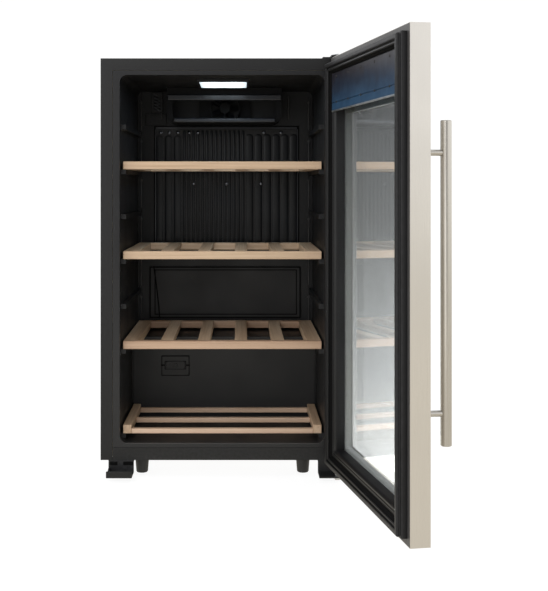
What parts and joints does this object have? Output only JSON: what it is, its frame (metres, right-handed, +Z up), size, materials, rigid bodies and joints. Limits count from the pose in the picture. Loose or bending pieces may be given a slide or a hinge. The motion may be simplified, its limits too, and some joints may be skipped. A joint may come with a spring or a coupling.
{
  "type": "wine cooler",
  "caption": "Free-standing compressor wine cooler with a glazed steel-framed door, bar handle, sliding wooden shelves, bottom rack, lamp, fan duct and levelling feet.",
  "frame": {"origin": "on the floor, mid-width, in the plane of the cabinet's front flange", "axes": "+X to the right seen from the front, +Y to the back, +Z up; the door is drawn open by 99.8 degrees"},
  "size_m": [0.62, 0.9423, 0.8493],
  "materials": {
    "cabinet_paint": "satin",
    "black_paint": "satin",
    "zinc_steel": "satin",
    "foam": "matte",
    "black_plastic": "satin",
    "gloss_black": "gloss",
    "white_plastic": "satin",
    "lens_plastic": "gloss",
    "foot_plastic": "matte",
    "compressor_shell": "satin",
    "rubber": "matte",
    "gasket_rubber": "matte",
    "copper": "satin",
    "stainless": "satin",
    "spacer_aluminium": "satin",
    "door_glass": "gloss",
    "board_green": "satin",
    "beech": "satin"
  },
  "bodies": {
    "cabinet": {"cabinet_wrap": "cabinet_paint", "front_crossbar": "cabinet_paint", "base_plate": "zinc_steel", "back_panel": "black_paint", "foam_insulation": "foam", "inner_liner": "black_plastic", "evaporator_plate": "black_plastic", "rear_lower_cover": "black_plastic", "evaporator_duct": "black_plastic", "fan_frame": "black_plastic", "fan_motor": "zinc_steel", "sensor_cover": "black_plastic", "lamp_housing": "black_plastic", "lamp_lens": "lens_plastic", "led_board": "white_plastic", "access_cover": "black_plastic", "access_cover_insert": "black_plastic", "top_hinge_plate": "black_paint", "lower_hinge_bracket": "black_paint", "left_corner_bracket": "black_paint", "hinge_screws": "zinc_steel", "hinge_pins": "zinc_steel", "foot_nuts": "zinc_steel", "compressor": "compressor_shell", "compressor_grommets": "rubber", "start_relay_box": "black_plastic", "drain_pan": "white_plastic", "drain_tube": "black_plastic", "condenser_tube": "black_paint", "condenser_wires": "black_paint", "filter_drier": "copper", "suction_line": "copper", "power_board_box": "black_plastic", "cord_gland": "rubber"},
    "door": {"door_steel_frame": "stainless", "door_core": "black_plastic", "door_inner_frame": "black_plastic", "outer_glass": "door_glass", "inner_glass": "door_glass", "glass_spacer": "spacer_aluminium", "door_gasket": "gasket_rubber", "control_cover": "gloss_black", "control_board": "board_green", "door_hinge_bushes": "white_plastic", "handle_bar": "stainless", "handle_standoffs": "stainless", "handle_screws": "zinc_steel"},
    "shelf_1": {"shelf_1_rails": "beech", "shelf_1_slats": "beech"},
    "shelf_2": {"shelf_2_rails": "beech", "shelf_2_slats": "beech"},
    "shelf_3": {"shelf_3_rails": "beech", "shelf_3_slats": "beech"},
    "bottom_rack": {"rack_cross_rails": "beech", "rack_side_rails": "beech"},
    "fan": {"fan_rotor": "black_plastic"},
    "front_left_foot": {"foot_front_left": "foot_plastic"},
    "front_right_foot": {"foot_front_right": "foot_plastic"},
    "rear_left_foot": {"foot_rear_left": "foot_plastic"},
    "rear_right_foot": {"foot_rear_right": "foot_plastic"}
  },
  "joints": [
    {"name": "door_swing", "type": "hinge", "parent": "cabinet", "child": "door", "pos_m": [0.23, -0.0275, 0], "axis": [0, 0, 1], "range_deg": [-99.8, 15.2]},
    {"name": "shelf_1_slide", "type": "slide", "parent": "cabinet", "child": "shelf_1", "axis": [0, -1, 0], "range_m": [0, 0.2]},
    {"name": "shelf_2_slide", "type": "slide", "parent": "cabinet", "child": "shelf_2", "axis": [0, -1, 0], "range_m": [0, 0.2]},
    {"name": "shelf_3_slide", "type": "slide", "parent": "cabinet", "child": "shelf_3", "axis": [0, -1, 0], "range_m": [0, 0.2]},
    {"name": "bottom_rack_slide", "type": "slide", "parent": "cabinet", "child": "bottom_rack", "axis": [0, -1, 0], "range_m": [0, 0.15]},
    {"name": "fan_spin", "type": "hinge", "parent": "cabinet", "child": "fan", "pos_m": [0, 0.363, 0.769], "axis": [0, 1, 0], "continuous": true},
    {"name": "front_left_foot_turn", "type": "hinge", "parent": "cabinet", "child": "front_left_foot", "pos_m": [-0.165, 0.044, 0], "axis": [0, 0, 1], "continuous": true},
    {"name": "front_right_foot_turn", "type": "hinge", "parent": "cabinet", "child": "front_right_foot", "pos_m": [0.165, 0.044, 0], "axis": [0, 0, 1], "continuous": true},
    {"name": "rear_left_foot_turn", "type": "hinge", "parent": "cabinet", "child": "rear_left_foot", "pos_m": [-0.165, 0.396, 0], "axis": [0, 0, 1], "continuous": true},
    {"name": "rear_right_foot_turn", "type": "hinge", "parent": "cabinet", "child": "rear_right_foot", "pos_m": [0.165, 0.396, 0], "axis": [0, 0, 1], "continuous": true}
  ]
}
